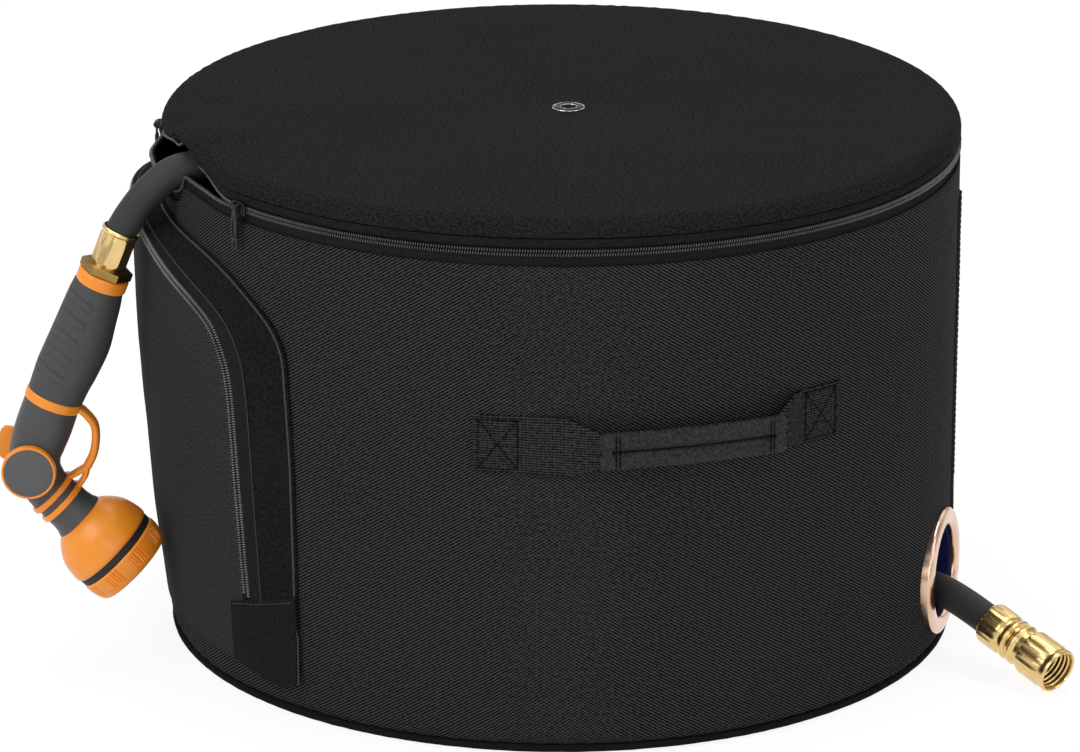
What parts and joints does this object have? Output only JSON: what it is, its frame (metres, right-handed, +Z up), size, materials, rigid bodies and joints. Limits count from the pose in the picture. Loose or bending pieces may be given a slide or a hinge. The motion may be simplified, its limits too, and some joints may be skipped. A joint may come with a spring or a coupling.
{
  "type": "garden hose pot",
  "caption": "Round cloth storage tub for a garden hose, with a zipped lid, roll handles, a side pocket and a metal port, holding a coiled hose with a coupling and spray nozzle.",
  "frame": {"origin": "centre of the base, on the floor", "axes": "+Z up, -Y towards the front handle, +X towards the hose port"},
  "size_m": [0.7129, 0.5561, 0.3581],
  "materials": {
    "cloth_black": "black twill",
    "cloth_pocket": "smooth black cloth",
    "edging": "black piping and zip tape",
    "board": "stiff sheet",
    "foam": "padding",
    "lining": "dark lining",
    "webbing": "black webbing",
    "slider_metal": "dark zip metal",
    "eyelet_metal": "polished",
    "port_metal": "satin rose gold",
    "port_cloth": "navy cloth",
    "hose_rubber": "charcoal rubber",
    "washer_rubber": "black rubber",
    "brass": "polished",
    "nozzle_dark": "soft dark grey",
    "nozzle_orange": "orange"
  },
  "bodies": {
    "pot": {"base_panel": "cloth_black", "base_board": "board", "base_piping": "edging", "wall_front": "cloth_black", "wall_back": "cloth_black", "wall_foam": "foam", "wall_lining": "lining", "seam_strip": "cloth_black", "rim_band": "cloth_black", "zip_lower": "edging", "hinge_band": "cloth_black", "pocket_panel": "cloth_pocket", "pocket_gusset": "cloth_black", "pocket_zip_outer": "edging", "pocket_zip_inner": "edging", "pocket_corner_right": "cloth_black", "pocket_corner_left": "cloth_black", "handle_front_webbing": "webbing", "handle_back_webbing": "webbing", "port_ring_front": "port_metal", "port_ring_back": "port_metal", "port_sleeve": "port_cloth", "hose_outlet": "hose_rubber", "hose_coil": "hose_rubber", "hose_inlet": "hose_rubber", "coupling_sleeve": "brass", "coupling_tail": "brass", "coupling_washer": "washer_rubber", "nozzle_ferrule": "brass", "nozzle_hex": "brass", "nozzle_collar": "nozzle_orange", "nozzle_grip": "nozzle_dark", "nozzle_band": "nozzle_orange", "nozzle_body": "nozzle_dark", "nozzle_guard": "nozzle_orange", "nozzle_cap": "nozzle_dark", "nozzle_neck": "nozzle_dark", "nozzle_head": "nozzle_orange", "nozzle_ring": "nozzle_dark"},
    "lid": {"zip_upper": "edging", "lid_panel": "cloth_black", "lid_piping": "edging", "lid_skirt": "cloth_black", "lid_board": "board", "lid_lining": "lining", "lid_eyelet": "eyelet_metal", "lid_eyelet_washer": "eyelet_metal", "lid_hinge_strip": "cloth_black"},
    "slider_front": {"zip_slider_front": "slider_metal"},
    "pull_front": {"zip_pull_front": "slider_metal"},
    "slider_left": {"zip_slider_left": "slider_metal"},
    "pull_left": {"zip_pull_left": "slider_metal"},
    "pocket_slider": {"pocket_slider": "slider_metal"},
    "pocket_pull": {"pocket_pull": "slider_metal"},
    "grip_front": {"handle_front_grip": "webbing"},
    "grip_back": {"handle_back_grip": "webbing"},
    "coupling_nut": {"coupling_nut": "brass"},
    "nozzle_lever": {"nozzle_lever": "nozzle_orange"},
    "spray_face": {"nozzle_face_ring": "nozzle_orange", "nozzle_plate": "nozzle_dark"}
  },
  "joints": [
    {"name": "lid_hinge", "type": "hinge", "parent": "pot", "child": "lid", "pos_m": [0, 0.2644, 0.334], "axis": [-1, 0, 0], "range_deg": [0, 110]},
    {"name": "zip_front_run", "type": "hinge", "parent": "pot", "child": "slider_front", "pos_m": [0, 0, 0.334], "axis": [0, 0, 1], "range_deg": [0, 195]},
    {"name": "pull_front_swing", "type": "hinge", "parent": "slider_front", "child": "pull_front", "pos_m": [-0.20637, -0.17317, 0.336], "axis": [-0.6428, 0.766, 0], "range_deg": [0, 120]},
    {"name": "zip_left_run", "type": "hinge", "parent": "pot", "child": "slider_left", "pos_m": [0, 0, 0.334], "axis": [0, 0, 1], "range_deg": [-55, 0]},
    {"name": "pull_left_swing", "type": "hinge", "parent": "slider_left", "child": "pull_left", "pos_m": [-0.26887, 0.01692, 0.336], "axis": [0.0628, 0.998, 0], "range_deg": [0, 120]},
    {"name": "pocket_zip_run", "type": "slide", "parent": "pot", "child": "pocket_slider", "axis": [-0.066, -0.026, 0.9975], "range_m": [0, 0.11]},
    {"name": "pocket_pull_swing", "type": "hinge", "parent": "pocket_slider", "child": "pocket_pull", "pos_m": [-0.20717, 0.17978, 0.08796], "axis": [0.6545, 0.7535, 0.0629], "range_deg": [0, 120]},
    {"name": "grip_front_swing", "type": "hinge", "parent": "pot", "child": "grip_front", "pos_m": [0.08237, -0.25577, 0.224], "axis": [-0.9519, -0.3065, 0], "range_deg": [0, 60]},
    {"name": "grip_back_swing", "type": "hinge", "parent": "pot", "child": "grip_back", "pos_m": [-0.05976, 0.26198, 0.224], "axis": [0.975, 0.2224, 0], "range_deg": [0, 60]},
    {"name": "coupling_nut_spin", "type": "hinge", "parent": "pot", "child": "coupling_nut", "pos_m": [0.286, -0.118, 0.032], "axis": [0.6539, -0.7042, -0.2766], "continuous": true},
    {"name": "nozzle_lever_swing", "type": "hinge", "parent": "pot", "child": "nozzle_lever", "pos_m": [-0.34854, -0.088, 0.13397], "axis": [0, 1, 0], "range_deg": [0, 60]},
    {"name": "spray_face_spin", "type": "hinge", "parent": "pot", "child": "spray_face", "pos_m": [-0.318, -0.088, 0.096], "axis": [0.7071, 0, -0.7071], "continuous": true}
  ]
}
